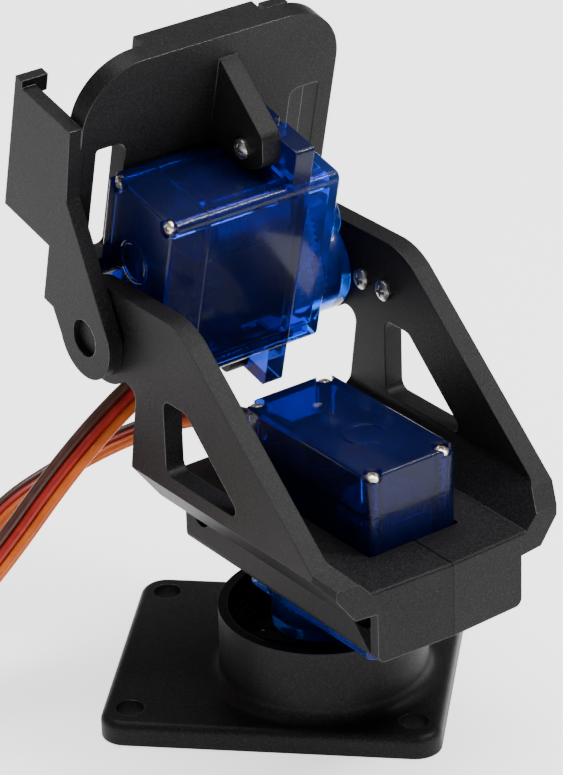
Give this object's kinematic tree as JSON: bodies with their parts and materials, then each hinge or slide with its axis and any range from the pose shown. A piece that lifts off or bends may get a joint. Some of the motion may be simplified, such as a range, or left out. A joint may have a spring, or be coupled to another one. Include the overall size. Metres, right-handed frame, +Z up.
{
  "type": "pan tilt camera mount",
  "caption": "Two-axis pan and tilt bracket: foot plate, split yoke, camera plate and two geared micro servos with wound three-wire leads.",
  "frame": {"origin": "centre of the foot plate's four fixing holes, at its underside", "axes": "+Z up along the pan axis, +X along the foot plate's long side, +Y along its short side"},
  "size_m": [0.1171, 0.0618, 0.0757],
  "materials": {
    "nylon_black": "moulded nylon, fine sheen",
    "horn_nylon": "satin",
    "gear_nylon": "satin",
    "screw_steel": "bright zinc",
    "screw_brass": "bright",
    "servo_blue": "translucent, polished",
    "motor_steel": "brushed",
    "pot_brown": "matte",
    "board_green": "solder mask",
    "lead_wires": "brown, red and orange insulation",
    "plug_black": "matte"
  },
  "bodies": {
    "base": {"base_plate": "nylon_black", "pan_horn": "nylon_black", "pan_horn_screws": "screw_steel", "pan_centre_screw": "screw_steel", "pan_output_gear": "gear_nylon"},
    "yoke": {"yoke_left": "nylon_black", "yoke_right": "nylon_black", "clamp_screws": "screw_steel", "pan_cover": "servo_blue", "pan_case": "servo_blue", "pan_gear_case": "servo_blue", "pan_case_screws": "screw_brass", "pan_motor": "motor_steel", "pan_potentiometer": "pot_brown", "pan_circuit_board": "board_green", "pan_idler_pin": "screw_steel", "tilt_horn": "horn_nylon", "tilt_horn_screws": "screw_steel", "tilt_centre_screw": "screw_steel", "tilt_output_gear": "gear_nylon", "pan_lead": "lead_wires", "pan_lead_coil": "lead_wires", "pan_lead_plug": "plug_black", "tilt_lead": "lead_wires", "tilt_lead_coil": "lead_wires", "tilt_lead_plug": "plug_black"},
    "head": {"head_plate": "nylon_black", "ear_screws": "screw_steel", "tilt_cover": "servo_blue", "tilt_case": "servo_blue", "tilt_gear_case": "servo_blue", "tilt_case_screws": "screw_brass", "tilt_motor": "motor_steel", "tilt_potentiometer": "pot_brown", "tilt_circuit_board": "board_green", "tilt_idler_pin": "screw_steel"},
    "pan_gear_3": {"pan_gear_3": "gear_nylon"},
    "pan_gear_2": {"pan_gear_2": "gear_nylon"},
    "pan_gear_1": {"pan_gear_1": "gear_nylon"},
    "pan_motor_pinion": {"pan_motor_pinion": "screw_brass"},
    "tilt_gear_3": {"tilt_gear_3": "gear_nylon"},
    "tilt_gear_2": {"tilt_gear_2": "gear_nylon"},
    "tilt_gear_1": {"tilt_gear_1": "gear_nylon"},
    "tilt_motor_pinion": {"tilt_motor_pinion": "screw_brass"}
  },
  "joints": [
    {"name": "pan", "type": "hinge", "parent": "base", "child": "yoke", "pos_m": [0.0047, -0.0022, 0], "axis": [0, 0, 1], "range_deg": [-134.2, 45.8], "deforming": ["pan_lead"]},
    {"name": "tilt", "type": "hinge", "parent": "yoke", "child": "head", "pos_m": [-0.00736, 0.0102, 0.0438], "axis": [0.7169, 0.6972, 0], "range_deg": [-90, 42], "deforming": ["tilt_lead"]},
    {"name": "pan_gear_3_spin", "type": "hinge", "parent": "yoke", "child": "pan_gear_3", "pos_m": [0.00906, -0.00668, 0.028], "axis": [0, 0, 1], "range_deg": [-315.1, 108.9]},
    {"name": "pan_gear_2_spin", "type": "hinge", "parent": "yoke", "child": "pan_gear_2", "pos_m": [0.0047, -0.0022, 0.028], "axis": [0, 0, 1], "range_deg": [-340.4, 993.6]},
    {"name": "pan_gear_1_spin", "type": "hinge", "parent": "yoke", "child": "pan_gear_1", "pos_m": [0.00906, -0.00668, 0.028], "axis": [0, 0, 1], "range_deg": [-3142, 1073.6]},
    {"name": "pan_motor_pinion_spin", "type": "hinge", "parent": "yoke", "child": "pan_motor_pinion", "pos_m": [0.01296, -0.01069, 0.028], "axis": [0, 0, 1], "range_deg": [-4931.5, 14446.1]},
    {"name": "tilt_gear_3_spin", "type": "hinge", "parent": "head", "child": "tilt_gear_3", "pos_m": [-0.00632, 0.00913, 0.04987], "axis": [0.7169, 0.6972, 0], "range_deg": [-212, 100]},
    {"name": "tilt_gear_2_spin", "type": "hinge", "parent": "head", "child": "tilt_gear_2", "pos_m": [-0.00736, 0.0102, 0.0438], "axis": [0.7169, 0.6972, 0], "range_deg": [-312.3, 667]},
    {"name": "tilt_gear_1_spin", "type": "hinge", "parent": "head", "child": "tilt_gear_1", "pos_m": [-0.00632, 0.00913, 0.04987], "axis": [0.7169, 0.6972, 0], "range_deg": [-2107.8, 984.7]},
    {"name": "tilt_motor_pinion_spin", "type": "hinge", "parent": "head", "child": "tilt_motor_pinion", "pos_m": [-0.00539, 0.00818, 0.05531], "axis": [0.7169, 0.6972, 0], "range_deg": [-4522.5, 9688.8]}
  ],
  "couplings": [
    {"joint": "pan_gear_3_spin", "follows": "pan", "ratio": 2.3333},
    {"joint": "pan_gear_2_spin", "follows": "pan", "ratio": -7.3889},
    {"joint": "pan_gear_1_spin", "follows": "pan", "ratio": 23.398},
    {"joint": "pan_motor_pinion_spin", "follows": "pan", "ratio": -107.63},
    {"joint": "tilt_gear_3_spin", "follows": "tilt", "ratio": 2.3333},
    {"joint": "tilt_gear_2_spin", "follows": "tilt", "ratio": -7.3889},
    {"joint": "tilt_gear_1_spin", "follows": "tilt", "ratio": 23.398},
    {"joint": "tilt_motor_pinion_spin", "follows": "tilt", "ratio": -107.63}
  ]
}
